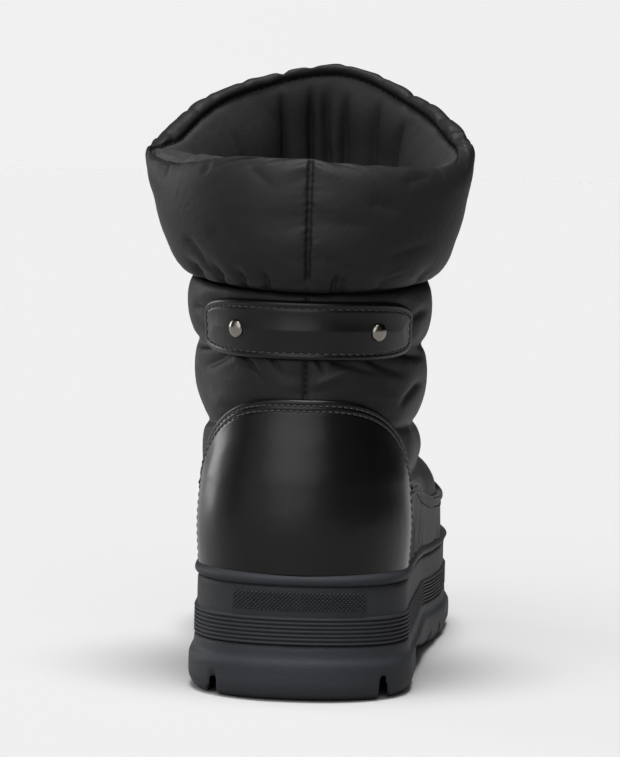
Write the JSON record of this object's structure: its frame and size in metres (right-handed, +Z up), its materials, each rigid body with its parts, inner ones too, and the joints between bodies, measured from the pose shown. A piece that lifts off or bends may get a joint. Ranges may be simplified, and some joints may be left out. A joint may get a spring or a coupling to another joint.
{
  "type": "winter boot",
  "caption": "Left padded snow boot with quilted nylon upper, puffed collar, leather heel counter, riveted back strap and thick lugged rubber sole",
  "frame": {"origin": "under the middle of the boot's box, on the floor", "axes": "+Y from heel to toe, +X to the wearer's inner (medial) side, +Z up"},
  "size_m": [0.1186, 0.2846, 0.2238],
  "materials": {
    "rubber": "matte moulded black rubber",
    "nylon": "soft-sheen black padded nylon",
    "leather": "smooth satin black leather",
    "felt": "matte dark felt footbed",
    "metal": "polished dark nickel"
  },
  "bodies": {
    "root": {"outsole": "rubber", "midsole": "rubber", "rand": "rubber", "insole": "felt", "upper": "nylon", "cuff": "nylon", "mudguard": "leather", "heel_counter": "leather", "back_strap": "leather", "strap_rivet_lateral": "metal", "strap_rivet_medial": "metal"}
  },
  "joints": []
}
